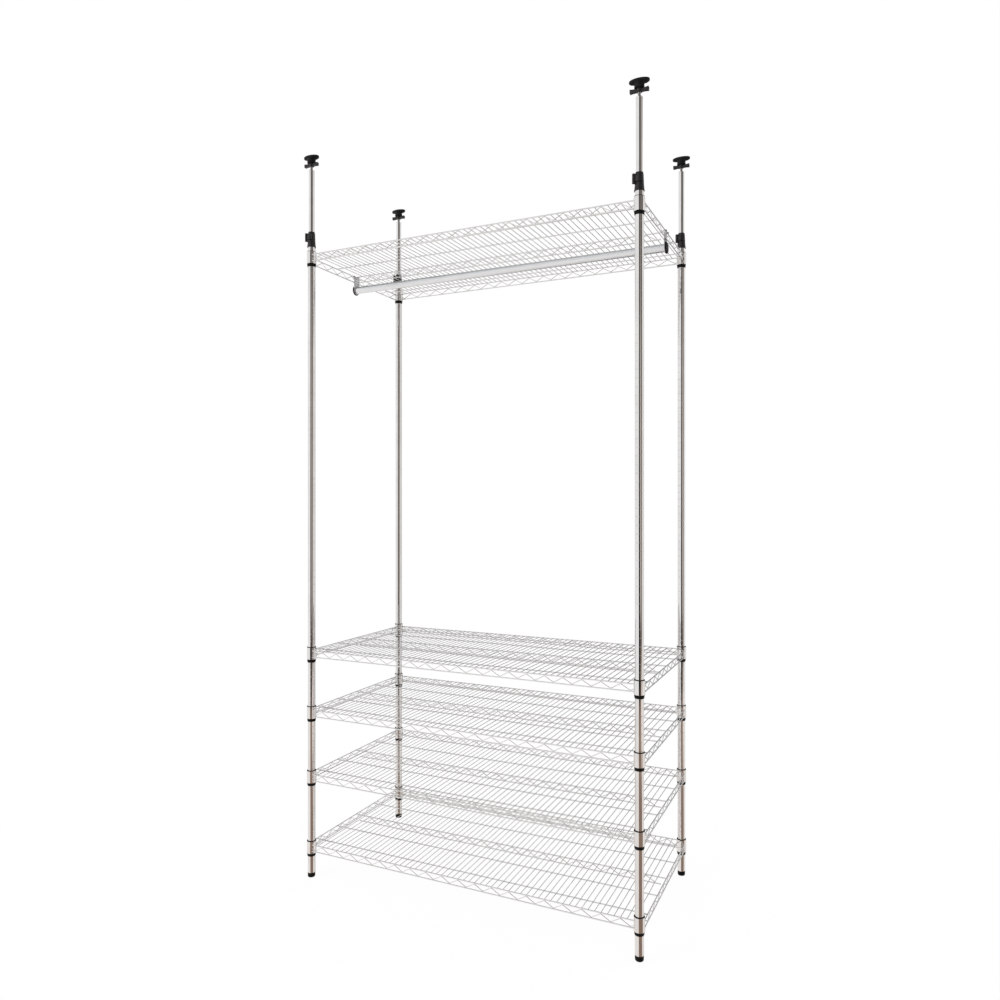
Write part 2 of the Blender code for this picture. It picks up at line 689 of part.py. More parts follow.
chrome_wire = new_material("chrome_wire", (0.52, 0.52, 0.53), 0.22, 1.0)
chrome_tube = new_material("chrome_tube", (0.66, 0.66, 0.67), 0.12, 1.0)
chrome_pole = new_material("chrome_pole", (0.66, 0.66, 0.67), 0.14, 1.0)
chrome_bar = new_material("chrome_bar", (0.70, 0.70, 0.71), 0.15, 1.0)
chrome_plate = new_material("chrome_plate", (0.60, 0.60, 0.61), 0.20, 1.0)
black_foot = new_material("black_foot", (0.018, 0.017, 0.017), 0.50, 0.0)
black_sleeve = new_material("black_sleeve", (0.015, 0.014, 0.014), 0.45, 0.0)
black_moulding = new_material("black_moulding", (0.014, 0.013, 0.013), 0.40, 0.0)
black_lever = new_material("black_lever", (0.014, 0.013, 0.013), 0.38, 0.0)
black_handle = new_material("black_handle", (0.015, 0.014, 0.014), 0.42, 0.0)
black_pad = new_material("black_pad", (0.016, 0.015, 0.015), 0.55, 0.0)
black_cap = new_material("black_cap", (0.014, 0.013, 0.013), 0.40, 0.0)

build_shelves()
build_corners()
build_hanger()
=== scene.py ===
import json
import math

import bmesh
import bpy
from mathutils import Matrix, Vector

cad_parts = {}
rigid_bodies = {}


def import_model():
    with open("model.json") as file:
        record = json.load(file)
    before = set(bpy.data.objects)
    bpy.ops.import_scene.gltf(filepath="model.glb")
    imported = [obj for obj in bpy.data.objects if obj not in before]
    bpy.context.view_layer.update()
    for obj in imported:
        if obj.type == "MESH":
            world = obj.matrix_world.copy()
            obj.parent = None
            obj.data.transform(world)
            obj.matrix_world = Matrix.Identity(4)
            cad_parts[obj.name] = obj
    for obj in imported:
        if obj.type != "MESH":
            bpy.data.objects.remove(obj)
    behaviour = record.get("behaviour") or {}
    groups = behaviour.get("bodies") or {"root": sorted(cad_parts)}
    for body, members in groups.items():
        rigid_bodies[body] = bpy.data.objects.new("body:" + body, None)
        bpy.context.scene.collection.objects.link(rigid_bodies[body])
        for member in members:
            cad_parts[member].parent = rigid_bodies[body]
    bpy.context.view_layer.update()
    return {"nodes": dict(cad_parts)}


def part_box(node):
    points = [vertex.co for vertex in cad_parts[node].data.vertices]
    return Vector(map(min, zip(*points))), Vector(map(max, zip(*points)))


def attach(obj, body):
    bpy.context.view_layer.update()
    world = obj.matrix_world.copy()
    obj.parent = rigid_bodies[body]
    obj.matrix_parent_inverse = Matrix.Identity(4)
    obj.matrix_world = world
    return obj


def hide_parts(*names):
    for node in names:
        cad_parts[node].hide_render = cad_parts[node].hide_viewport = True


for leftover in list(bpy.data.objects):
    bpy.data.objects.remove(leftover)
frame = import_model()
print("frame loaded:", len(frame["nodes"]), "nodes")

corners = ("front_left", "front_right", "back_left", "back_right")
shelfNumbers = range(1, 6)
mm = 0.001
fullTurn = 2 * math.pi
weld = 0.002 * mm  # points nearer than this become one
sharpAngle = dict(fine=12, crisp=30, soft=35, round=40)  # degrees past which an edge is shaded sharp


def addObject(name, data):
    made = bpy.data.objects.new(name, data)
    bpy.context.scene.collection.objects.link(made)
    return made


# camera at the photograph's place: level, a little right of the unit's front
cameraLook = dict(place=(1.1577, -2.4384, 1.3037), aim=(-0.4252, 0.9051, 0.0), lens=27.974, sensor=36.0)


def makeCamera():
    data = bpy.data.cameras.new("camera")
    data.lens = cameraLook["lens"]
    data.sensor_width = cameraLook["sensor"]
    camera = addObject("camera", data)
    camera.location = cameraLook["place"]
    camera.rotation_mode = "QUATERNION"
    camera.rotation_quaternion = Vector(cameraLook["aim"]).to_track_quat("-Z", "Y")
    bpy.context.scene.camera = camera


class Tap:  # a node socket that takes part in sums
    def __init__(self, tree, socket=None):
        self.tree = tree
        self.socket = socket

    def node(self, kind, settings=None, inputs=None, out=0):
        made = self.tree.nodes.new(kind)
        for key, value in (settings or {}).items():
            setattr(made, key, value)
        for key, value in (inputs or {}).items():
            if isinstance(value, Tap):
                self.tree.links.new(value.socket, made.inputs[key])
            else:
                made.inputs[key].default_value = value
        return Tap(self.tree, made.outputs[out] if len(made.outputs) else None)

    def sum(self, operation, first, second=0.0):
        return self.node("ShaderNodeMath", {"operation": operation}, {0: first, 1: second})

    def __add__(self, other):
        return self.sum("ADD", self, other)

    def __radd__(self, other):
        return self.sum("ADD", other, self)

    def __sub__(self, other):
        return self.sum("SUBTRACT", self, other)

    def __rsub__(self, other):
        return self.sum("SUBTRACT", other, self)

    def __mul__(self, other):
        return self.sum("MULTIPLY", self, other)

    def __rmul__(self, other):
        return self.sum("MULTIPLY", other, self)

    def __truediv__(self, other):
        return self.sum("DIVIDE", self, other)

    def ease(self, low, high, start=0.0, end=1.0):  # smooth step from start to end
        settings = {"interpolation_type": "SMOOTHSTEP"}
        inputs = {"Value": self, "From Min": low, "From Max": high, "To Min": start, "To Max": end}
        return self.node("ShaderNodeMapRange", settings, inputs)

    def noise(self, scale, detail):
        return self.node("ShaderNodeTexNoise", {}, {"Vector": self, "Scale": scale, "Detail": detail})

    def between(self, first, second):  # self picks from first (0) to second (1)
        return self.node("ShaderNodeMix", {"data_type": "RGBA"}, {0: self, 6: first, 7: second}, 2)


def opaque(colour):
    return (*colour, 1)


def newFinish(name):
    material = bpy.data.materials.new(name)
    material.use_nodes = True
    tree = material.node_tree
    shader = tree.nodes["Principled BSDF"]
    start = Tap(tree)
    place = start.node("ShaderNodeTexCoord", out="Object")
    return material, shader, start, place


def feed(shader, socket, value):
    if isinstance(value, Tap):
        value.tree.links.new(value.socket, shader.inputs[socket])
    else:
        shader.inputs[socket].default_value = value


# bright plating: soft cloudy differences in shine, fine drawn lines along the metal, faint waves
platingLook = dict(cloudDetail=3.0, lineDetail=2.0, waveDetail=1.0, cloudShare=0.6, lineShare=0.4)
platingLook.update(tone=(0.3, 0.7), lineWave=0.15, waveDepth=0.4 * mm)


def chromeFinish(name, look):
    material, shader, start, place = newFinish(name)
    plating = platingLook
    cloud = place.noise(look["cloud"], plating["cloudDetail"])
    stretched = start.node("ShaderNodeMapping", {}, {"Vector": place, "Scale": look["grain"]})
    lines = stretched.noise(1.0, plating["lineDetail"])
    tone = (cloud * plating["cloudShare"] + lines * plating["lineShare"]).ease(*plating["tone"])
    feed(shader, "Base Color", tone.between(opaque(look["dark"]), opaque(look["light"])))
    feed(shader, "Metallic", 1.0)
    feed(shader, "Roughness", look["rough"] + (cloud - 0.5) * look["roughSpread"])
    waves = place.noise(look["waves"], plating["waveDetail"]) + lines * plating["lineWave"]
    bump = {"Strength": look["bump"], "Distance": plating["waveDepth"], "Height": waves}
    feed(shader, "Normal", start.node("ShaderNodeBump", {}, bump))
    return material


# black moulded plastic: fine spark-eroded grain, slightly paler and duller in patches
mouldingLook = dict(detail=2.0, patchShare=0.7, grainShare=0.3, tone=(0.35, 0.7), grainDepth=0.2 * mm)


def mouldedFinish(name, look):
    material, shader, start, place = newFinish(name)
    moulding = mouldingLook
    grain = place.noise(look["grain"], moulding["detail"])
    patch = place.noise(look["patch"], moulding["detail"])
    tone = (patch * moulding["patchShare"] + grain * moulding["grainShare"]).ease(*moulding["tone"])
    feed(shader, "Base Color", tone.between(opaque(look["dark"]), opaque(look["light"])))
    feed(shader, "Roughness", look["rough"] + (patch - 0.5) * look["roughSpread"])
    feed(shader, "Specular IOR Level", look["shine"])
    bump = {"Strength": look["bump"], "Distance": moulding["grainDepth"], "Height": grain}
    feed(shader, "Normal", start.node("ShaderNodeBump", {}, bump))
    return material


tubeChrome = dict(dark=(0.70, 0.69, 0.69), light=(0.78, 0.78, 0.78), rough=0.07, roughSpread=0.04)
tubeChrome.update(cloud=22.0, grain=(900, 900, 6), waves=30.0, bump=0.01)
wireChrome = dict(dark=(0.74, 0.74, 0.745), light=(0.82, 0.82, 0.825), rough=0.20, roughSpread=0.08)
wireChrome.update(cloud=35.0, grain=(60, 60, 60), waves=150.0, bump=0.05)
barChrome = dict(dark=(0.765, 0.79, 0.812), light=(0.84, 0.867, 0.89), rough=0.36, roughSpread=0.06)
barChrome.update(cloud=18.0, grain=(6, 900, 900), waves=30.0, bump=0.01)
plateChrome = dict(dark=(0.30, 0.30, 0.305), light=(0.56, 0.56, 0.565), rough=0.07, roughSpread=0.04)
plateChrome.update(cloud=40.0, grain=(200, 200, 40), waves=120.0, bump=0.05)
boltSteel = dict(dark=(0.42, 0.41, 0.40), light=(0.56, 0.55, 0.54), rough=0.28, roughSpread=0.10)
boltSteel.update(cloud=80.0, grain=(300, 300, 300), waves=200.0, bump=0.05)
blackHard = dict(dark=(0.008, 0.008, 0.008), light=(0.016, 0.015, 0.015), rough=0.42, roughSpread=0.12)
blackHard.update(grain=2600.0, patch=60.0, shine=0.42, bump=0.12)
# ceiling pad plastic: duller than the other mouldings, with its base colour also darkened as painted shade
# for the shade on the pads' undersides
blackSoftWithPaintedShade = dict(dark=(0.004, 0.004, 0.004), light=(0.009, 0.009, 0.009), rough=0.60, roughSpread=0.12)
blackSoftWithPaintedShade.update(grain=1800.0, patch=50.0, shine=0.22, bump=0.18)
blackDeep = dict(dark=(0.003, 0.003, 0.003), light=(0.006, 0.006, 0.006), rough=0.55, roughSpread=0.10)
blackDeep.update(grain=2200.0, patch=70.0, shine=0.12, bump=0.10)

postFinish = chromeFinish("post_chrome", tubeChrome)
wireFinish = chromeFinish("wire_chrome", wireChrome)
barFinish = chromeFinish("bar_chrome", barChrome)
plateFinish = chromeFinish("bracket_chrome", plateChrome)
boltFinish = chromeFinish("bolt_steel", boltSteel)
hardFinish = mouldedFinish("black_moulding", blackHard)
softFinishWithPaintedShade = mouldedFinish("black_soft_painted_shade", blackSoftWithPaintedShade)
deepFinish = mouldedFinish("black_deep", blackDeep)
print("finishes made")


def vertsOf(items):
    return [item for item in items if isinstance(item, bmesh.types.BMVert)]


def levelEdges(edges):  # those that lie flat
    return [edge for edge in edges if abs(edge.verts[0].co.z - edge.verts[1].co.z) < 0.1 * mm]


def lathe(bm, profile, centre, segments, angle=fullTurn):  # (radius, height) down the outer side
    points = [bm.verts.new((centre.x + radius, centre.y, height)) for radius, height in profile]
    lines = [bm.edges.new(pair) for pair in zip(points, points[1:])]
    turn = dict(cent=centre, axis=(0, 0, 1), angle=angle, steps=segments, use_merge=angle == fullTurn)
    bmesh.ops.spin(bm, geom=points + lines, **turn)


def ringed(profile):  # close a hollow profile on itself
    return [*profile, profile[0]]


def arcPoints(radius, start, end, steps, centre=(0.0, 0.0)):
    turns = [start + (end - start) * step / steps for step in range(steps + 1)]
    return [(centre[0] + radius * math.cos(a), centre[1] + radius * math.sin(a)) for a in turns]


def rod(bm, start, end, radius, sides):
    along = Vector(end) - Vector(start)
    middle = Matrix.Translation((Vector(start) + Vector(end)) / 2)
    place = middle @ along.to_track_quat("Z", "Y").to_matrix().to_4x4()
    size = dict(segments=sides, radius1=radius, radius2=radius, depth=along.length)
    bmesh.ops.create_cone(bm, cap_ends=True, cap_tris=False, matrix=place, **size)


def bentWire(bm, path, side, radius, sides):  # a ring pulled along a path that lies in one plane
    frames = []
    for index, point in enumerate(path):
        ahead = path[min(index + 1, len(path) - 1)] - path[max(index - 1, 0)]
        tangent = ahead.normalized()
        turned = Matrix((side, tangent.cross(side), tangent)).transposed()
        frames.append(Matrix.Translation(point) @ turned.to_4x4())
    first = dict(cap_ends=True, segments=sides, radius=radius, matrix=frames[0])
    ring = bmesh.ops.create_circle(bm, **first)["verts"]
    edges = list({edge for vert in ring for edge in vert.link_edges})
    for before, after in zip(frames, frames[1:]):
        grown = bmesh.ops.extrude_edge_only(bm, edges=edges)["geom"]
        ring = set(vertsOf(grown))
        lines = [item for item in grown if isinstance(item, bmesh.types.BMEdge)]
        edges = [line for line in lines if ring.issuperset(line.verts)]
        bmesh.ops.transform(bm, matrix=after @ before.inverted(), verts=list(ring))
    bmesh.ops.contextual_create(bm, geom=edges)


def soften(bm, edges, verts, radius, steps):  # bevels a piece and gives back all its vertices
    shape = dict(offset=radius, segments=steps, affect="EDGES", profile=0.5, material=-1)
    made = bmesh.ops.bevel(bm, geom=edges, **shape)
    bevelled = {vert for face in made["faces"] for vert in face.verts}
    return list(bevelled | {vert for vert in verts if vert.is_valid})


def box(bm, low, high, roundness, steps, place):
    cube = bmesh.ops.create_cube(bm, size=1.0)["verts"]
    bmesh.ops.scale(bm, vec=Vector(high) - Vector(low), verts=cube)
    bmesh.ops.translate(bm, vec=(Vector(high) + Vector(low)) / 2, verts=cube)
    edges = list({edge for vert in cube for edge in vert.link_edges})
    bmesh.ops.transform(bm, matrix=place, verts=soften(bm, edges, cube, roundness, steps))


def slab(bm, outline, depth, roundness, steps, place):  # a flat outline given a thickness and soft edges
    points = [bm.verts.new((x, y, 0)) for x, y in outline]
    grown = bmesh.ops.extrude_face_region(bm, geom=[bm.faces.new(points)])["geom"]
    raised = vertsOf(grown)
    bmesh.ops.translate(bm, vec=(0, 0, depth), verts=raised)
    verts = points + raised
    rims = levelEdges({edge for vert in verts for edge in vert.link_edges})
    bmesh.ops.transform(bm, matrix=place, verts=soften(bm, rims, verts, roundness, steps))


def makeMesh(name, bm, finish, sharp):
    bmesh.ops.remove_doubles(bm, verts=bm.verts, dist=weld)
    bmesh.ops.recalc_face_normals(bm, faces=bm.faces)
    mesh = bpy.data.meshes.new(name)
    bm.to_mesh(mesh)
    bm.free()
    mesh.shade_smooth()
    mesh.set_sharp_from_angle(angle=math.radians(sharp))
    mesh.materials.append(finish)
    return mesh


def showPiece(name, mesh, body, nodes):
    piece = addObject(name, mesh)
    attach(piece, body)
    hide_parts(*nodes)


def finishPiece(name, bm, finish, body, nodes, sharp):
    showPiece(name, makeMesh(name, bm, finish, sharp), body, nodes)


def axisOf(node):
    low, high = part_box(node)
    return (low + high) / 2


# posts: tube with a fine rolled groove at about every inch, open at the top
postLook = dict(wall=1.2 * mm, edge=0.3 * mm, segments=48)
postLook.update(pitch=24.5 * mm, first=15.5 * mm, depth=0.36 * mm, width=1.6 * mm)
postLook.update(groove=((0.5, 0), (0.2, 0.85), (0, 1), (-0.2, 0.85), (-0.5, 0)))  # shares of width and depth


def makePost(corner):
    node = "post_" + corner
    low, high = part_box(node)
    look = postLook
    radius = (high.x - low.x) / 2
    inner = radius - look["wall"]
    profile = [(inner, high.z), (radius - look["edge"], high.z), (radius, high.z - look["edge"])]
    count = int((high.z - low.z - look["first"]) / look["pitch"])
    for step in range(count, -1, -1):
        middle = low.z + look["first"] + step * look["pitch"]
        for across, depth in look["groove"]:
            profile.append((radius - look["depth"] * depth, middle + look["width"] * across))
    profile += [(radius, low.z), (inner, low.z)]
    bm = bmesh.new()
    lathe(bm, ringed(profile), axisOf(node), look["segments"])
    finishPiece("grooved_" + node, bm, postFinish, "frame", [node], sharpAngle["fine"])


# levelling feet: a black sole with a domed edge, moulded on a steel screw
footLook = dict(gap=0.3 * mm, edge=0.5 * mm, dome=5.5 * mm, domeLift=0.8, domeSteps=6, soleIn=0.7)
footLook.update(screw=4.0 * mm, pitch=1.25 * mm, threadDepth=0.5 * mm, sunk=1.0 * mm, segments=48)
threadLook = dict(crest=0.2, root=0.6)  # shares of the pitch


def threadProfile(radius, bottom, top, pitch, depth):
    profile = []
    turns = int((top - bottom) / pitch)
    for turn in range(turns):
        start = top - turn * pitch
        profile += [(radius, start), (radius, start - threadLook["crest"] * pitch)]
        profile += [(radius - depth, start - threadLook["root"] * pitch)]
    return [*profile, (radius, top - turns * pitch), (radius, bottom)]


def makeFoot(corner):
    node = "foot_" + corner
    low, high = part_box(node)
    look = footLook
    edge, dome = look["edge"], look["dome"]
    radius = (high.x - low.x) / 2
    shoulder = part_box("post_" + corner)[0].z - look["gap"]
    profile = [(0, shoulder), (radius - edge, shoulder), (radius, shoulder - edge)]
    domeCentre = (radius - dome, low.z + dome * look["domeLift"])
    bend = arcPoints(dome, 0, -math.pi / 2, look["domeSteps"], domeCentre)
    profile += [point for point in bend if point[1] > low.z]
    profile += [(radius - dome * look["soleIn"], low.z), (0, low.z)]
    bm = bmesh.new()
    lathe(bm, profile, axisOf(node), look["segments"])
    finishPiece("levelling_" + node, bm, deepFinish, node, [node], sharpAngle["soft"])
    sunk = shoulder - look["sunk"]
    thread = threadProfile(look["screw"], sunk, high.z, look["pitch"], look["threadDepth"])
    bm = bmesh.new()
    lathe(bm, [(0, high.z), *thread, (0, sunk)], axisOf(node), look["segments"])
    finishPiece("foot_screw_" + corner, bm, boltFinish, node, [node], sharpAngle["crisp"])


# split sleeves: a thin tapered shell, a rim above the collar, a wider seat and a plain lip below it
sleeveLook = dict(slit=math.radians(6), boreGap=0.15 * mm, gap=0.1 * mm, edge=0.5 * mm, segments=44)
sleeveLook.update(rim=2.5 * mm, rimRise=0.2 * mm, neck=0.9 * mm, shell=0.7 * mm, taperEnd=1.0 * mm)
sleeveLook.update(seat=15.2 * mm, seatSlope=0.3 * mm, lipTop=2.1 * mm, lip=0.9 * mm)


def makeSleeve(number, corner):
    node = f"sleeve_{number}_{corner}"
    low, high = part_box(node)
    shelfLow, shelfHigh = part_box(f"shelf_{number}")
    postLow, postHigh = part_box("post_" + corner)
    look = sleeveLook
    edge, gap, seat, slope = look["edge"], look["gap"], look["seat"], look["seatSlope"]
    bore = (postHigh.x - postLow.x) / 2 + look["boreGap"]
    outer = (high.x - low.x) / 2 - gap
    rim, lip = bore + look["rim"], bore + look["lip"]
    top, over, under = high.z + look["rimRise"], shelfHigh.z + gap, shelfLow.z - gap
    profile = [(bore, top), (rim - edge, top), (rim, top - edge), (rim, over)]
    profile += [(bore + look["neck"], over), (bore + look["shell"], shelfHigh.z - edge)]
    profile += [(outer, shelfLow.z + look["taperEnd"]), (outer, under)]
    profile += [(seat, under), (seat - gap, under - slope), (bore + look["lipTop"], under - 2 * slope)]
    profile += [(lip + slope, low.z + 3 * edge), (lip, low.z + edge), (lip - edge, low.z), (bore, low.z)]
    bm = bmesh.new()
    lathe(bm, ringed(profile), axisOf("post_" + corner), look["segments"], fullTurn - look["slit"])
    bmesh.ops.remove_doubles(bm, verts=bm.verts, dist=weld)
    bmesh.ops.holes_fill(bm, edges=[line for line in bm.edges if line.is_boundary], sides=0)
    finishPiece("split_" + node, bm, deepFinish, "frame", [node], sharpAngle["soft"])


# welded shelves: round wires, rolled-edge collars, zigzag trusses on all edges and down the middle
shelfLook = dict(rail=1.8 * mm, railSides=14, wire=1.15 * mm, wireSides=10, weldSink=0.3 * mm)
shelfLook.update(topDrop=11.0 * mm, trussHeight=21.5 * mm, frontOut=9.5 * mm, sideOut=12.5 * mm)
shelfLook.update(crossPitch=19.5 * mm, crossEach=29, longPitch=117.0 * mm, longEach=2)
shelfLook.update(zigzag=58.5 * mm, endRoom=1.0 * mm, bend=5.0 * mm, bendSteps=5, bendShare=0.45)
shelfLook.update(middleShort=5.0 * mm, middleWaves=9.5)
wireToRail = shelfLook["rail"] + shelfLook["wire"] - shelfLook["weldSink"]  # between their middles
collarLook = dict(wall=1.5 * mm, edge=0.5 * mm, rollIn=0.15, rollDown=0.4, segments=48)


def zigzagLine(half, crestInMiddle, low, high):  # (along, height) with rounded bends
    look = shelfLook
    step = look["zigzag"] / 2
    count = int((half - look["endRoom"]) / step)
    places = [-half, *[n * step for n in range(-count, count + 1)], half]

    def height(along):
        phase = (abs(along) / look["zigzag"] + (0 if crestInMiddle else 0.5)) % 1
        return high - (high - low) * (1 - abs(1 - 2 * phase))

    points = [Vector((along, height(along))) for along in places]
    rounded = [points[0]]
    for before, bend, after in zip(points, points[1:], points[2:]):
        toBefore = (before - bend).normalized()
        toAfter = (after - bend).normalized()
        shortest = min((before - bend).length, (after - bend).length)
        reach = min(look["bend"] / math.tan(toBefore.angle(toAfter) / 2), shortest * look["bendShare"])
        first = bend + toBefore * reach
        last = bend + toAfter * reach
        for turn in range(look["bendSteps"] + 1):
            share = turn / look["bendSteps"]
            rounded.append(first * (1 - share) ** 2 + bend * 2 * share * (1 - share) + last * share ** 2)
    return [*rounded, points[-1]]


def trussWire(bm, half, crestInMiddle, railZ, alongX, offset):  # between the rail at railZ and the one below
    line = zigzagLine(half, crestInMiddle, railZ - shelfLook["trussHeight"] + wireToRail, railZ - wireToRail)
    if alongX:
        path = [Vector((along, offset, height)) for along, height in line]
        side = Vector((0, 1, 0))
    else:
        path = [Vector((offset, along, height)) for along, height in line]
        side = Vector((1, 0, 0))
    bentWire(bm, path, side, shelfLook["wire"], shelfLook["wireSides"])


def railRod(bm, start, end):
    rod(bm, start, end, shelfLook["rail"], shelfLook["railSides"])


def shelfWires():
    look = shelfLook
    halfX, halfY = axisOf("post_back_right").xy
    frontY = halfY + look["frontOut"]
    sideX = halfX + look["sideOut"]
    frontZ = -look["topDrop"]
    longZ = frontZ - wireToRail
    lowerZ = longZ - look["trussHeight"]
    bm = bmesh.new()
    for drop in (0, look["trussHeight"]):
        for side in (-1, 1):
            railRod(bm, (-halfX, side * frontY, frontZ - drop), (halfX, side * frontY, frontZ - drop))
            railRod(bm, (side * sideX, -halfY, longZ - drop), (side * sideX, halfY, longZ - drop))
    for step in range(-look["crossEach"], look["crossEach"] + 1):
        x = step * look["crossPitch"]
        rod(bm, (x, -frontY, frontZ), (x, frontY, frontZ), look["wire"], look["wireSides"])
    for step in range(-look["longEach"], look["longEach"] + 1):
        y = step * look["longPitch"]
        railRod(bm, (-sideX, y, longZ), (sideX, y, longZ))
    for side in (-1, 1):
        trussWire(bm, halfX, True, frontZ, True, side * frontY)
        trussWire(bm, halfY, False, longZ, False, side * sideX)
    middleEnd = halfX - look["middleShort"]
    railRod(bm, (-middleEnd, 0, lowerZ), (middleEnd, 0, lowerZ))
    trussWire(bm, look["zigzag"] * look["middleWaves"], True, longZ, True, 0.0)
    return makeMesh("shelf_wires", bm, wireFinish, sharpAngle["round"])


def shelfCollars():
    look = collarLook
    low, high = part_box("shelf_1")
    radius = high.x - axisOf("post_back_right").x
    foot = low.z - high.z
    edge = look["edge"]
    inner = radius - look["wall"]
    rolled, down = radius - look["rollIn"] * edge, look["rollDown"] * edge
    profile = [(inner, -edge), (inner + edge, 0), (radius - edge, 0), (rolled, -down), (radius, -edge)]
    profile += [(radius, foot + edge), (rolled, foot + down), (radius - edge, foot)]
    profile += [(inner + edge, foot), (inner, foot + edge)]
    bm = bmesh.new()
    for corner in corners:
        lathe(bm, ringed(profile), axisOf("post_" + corner).xy.to_3d(), look["segments"])
    return makeMesh("shelf_collars", bm, postFinish, sharpAngle["fine"])


def makeShelves():
    meshes = dict(wires=shelfWires(), collars=shelfCollars())
    for number in shelfNumbers:
        node = f"shelf_{number}"
        rise = Matrix.Translation((0, 0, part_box(node)[1].z))
        for kind, mesh in meshes.items():
            copy = mesh.copy()
            copy.transform(rise)
            showPiece(f"{node}_{kind}", copy, "frame", [node])


# pole clamps: tapered moulding with a flared rim, a collet lip on top and two pin lugs
clampLook = dict(crown=((9.75, 0.6), (10.2, 0), (10.7, 0), (10.95, 0.4)))  # mm: radius, below the top
clampLook["crown"] += ((11.05, 2.8), (11.5, 3.4), (11.85, 4.2), (12.2, 11.5))
clampLook.update(skirt=((12.9, 24), (13.1, 18.5), (13.6, 12), (14.1, 6.5)))  # mm: radius, above the foot
clampLook["skirt"] += ((14.7, 2.2), (15.1, 0.8), (14.9, 0), (13.4, 0), (12.95, 0.5))
clampLook.update(socket=12.95 * mm, throat=9.75 * mm, throatRise=0.2 * mm, segments=56)
clampLook.update(direction=math.radians(224), pivot=18.0 * mm, bevel=0.9 * mm, bevelSteps=3)
clampLook.update(lugRoot=11.2 * mm, reach=21.8 * mm, lugWidth=7.6 * mm, lugThick=5.0 * mm, lugBase=18.6 * mm)
clampLook.update(leverTall=17.6 * mm, leverGap=0.4 * mm)


def clampTurn(corner):  # from the lever's own direction to the corner's place
    centre = axisOf("post_" + corner).xy.to_3d()
    return Matrix.Translation(centre) @ Matrix.Rotation(clampLook["direction"], 4, "Z")


def makeClamp(corner):
    node = "clamp_" + corner
    low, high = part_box(node)
    look = clampLook
    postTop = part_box("post_" + corner)[1].z
    profile = [(radius * mm, high.z - drop * mm) for radius, drop in look["crown"]]
    profile += [(radius * mm, low.z + rise * mm) for radius, rise in look["skirt"]]
    profile += [(look["socket"], postTop), (look["throat"], postTop + look["throatRise"])]
    bm = bmesh.new()
    lathe(bm, ringed(profile), axisOf("post_" + corner), look["segments"])
    half = look["lugWidth"] / 2
    first = low.z + look["lugBase"]
    second = first + look["lugThick"] + look["leverTall"] + 2 * look["leverGap"]
    for foot in (first, second):
        start, end = (look["lugRoot"], -half, foot), (look["reach"], half, foot + look["lugThick"])
        box(bm, start, end, look["bevel"], look["bevelSteps"], clampTurn(corner))
    finishPiece("pole_" + node, bm, hardFinish, "frame", [node], sharpAngle["soft"])


# clamp levers: square knuckle on a pin, curved finger plate round the clamp with a turned-out tip
leverLook = dict(inner=13.75 * mm, outer=16.6 * mm, start=math.radians(-4), sweep=math.radians(80), steps=20)
leverLook.update(tip=2.5 * mm, bevel=0.7 * mm, bevelSteps=2, knuckle=14.3 * mm)
leverLook.update(pin=1.5 * mm, pinSides=20, pinProud=0.3 * mm)


def makeLever(corner):
    node = "clamp_lever_" + corner
    low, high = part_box(node)
    look, seat = leverLook, clampLook
    turn = clampTurn(corner)
    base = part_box("clamp_" + corner)[0].z + seat["lugBase"] + seat["lugThick"] + seat["leverGap"]
    tall = seat["leverTall"]
    tip = look["sweep"] + look["tip"] / look["outer"]
    tipRadius = look["outer"] + look["tip"]
    outline = arcPoints(look["inner"], look["start"], look["sweep"], look["steps"])
    outline += [(tipRadius * math.cos(tip), tipRadius * math.sin(tip))]
    outline += reversed(arcPoints(look["outer"], look["start"], look["sweep"], look["steps"]))
    bm = bmesh.new()
    slab(bm, outline, tall, look["bevel"], look["bevelSteps"], turn @ Matrix.Translation((0, 0, base)))
    half = seat["lugWidth"] / 2
    start, end = (look["knuckle"], -half, base), (seat["reach"], half, base + tall)
    box(bm, start, end, seat["bevel"], seat["bevelSteps"], turn)
    x, y, _ = turn @ Vector((seat["pivot"], 0, 0))
    foot, head = low.z - look["pinProud"], high.z + look["pinProud"]
    rod(bm, (x, y, foot), (x, y, head), look["pin"], look["pinSides"])
    finishPiece("cam_" + node, bm, hardFinish, node, [node], sharpAngle["soft"])


# telescopic poles: plain bright tube, domed threaded plug in the top, guide bush at the foot
poleLook = dict(tube=9.5 * mm, wall=1.0 * mm, bushTall=12.0 * mm, bushEdge=0.4 * mm, segments=44)
poleLook.update(plug=((4.55, 0.3), (4.9, 0), (7.4, 0.1), (9.2, 0.7)))  # mm: radius, below the top
poleLook["plug"] += ((9.95, 1.5), (10.0, 2.6), (9.8, 3.0), (9.5, 3.2))
poleLook.update(plugBore=4.55 * mm, plugTall=15.0 * mm)


def makePole(corner):
    node = "pole_" + corner
    low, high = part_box(node)
    look = poleLook
    tube, edge = look["tube"], look["bushEdge"]
    bush = (high.x - low.x) / 2
    bushTop = low.z + look["bushTall"]
    plugLow = high.z - look["plugTall"]
    profile = [(radius * mm, high.z - drop * mm) for radius, drop in look["plug"]]
    profile += [(tube, bushTop), (bush - edge, bushTop), (bush, bushTop - edge), (bush, low.z + edge)]
    profile += [(bush - edge, low.z), (tube - look["wall"], low.z)]
    profile += [(tube - look["wall"], plugLow), (look["plugBore"], plugLow)]
    bm = bmesh.new()
    lathe(bm, ringed(profile), axisOf(node), look["segments"])
    finishPiece("inner_" + node, bm, postFinish, node, [node], sharpAngle["soft"])


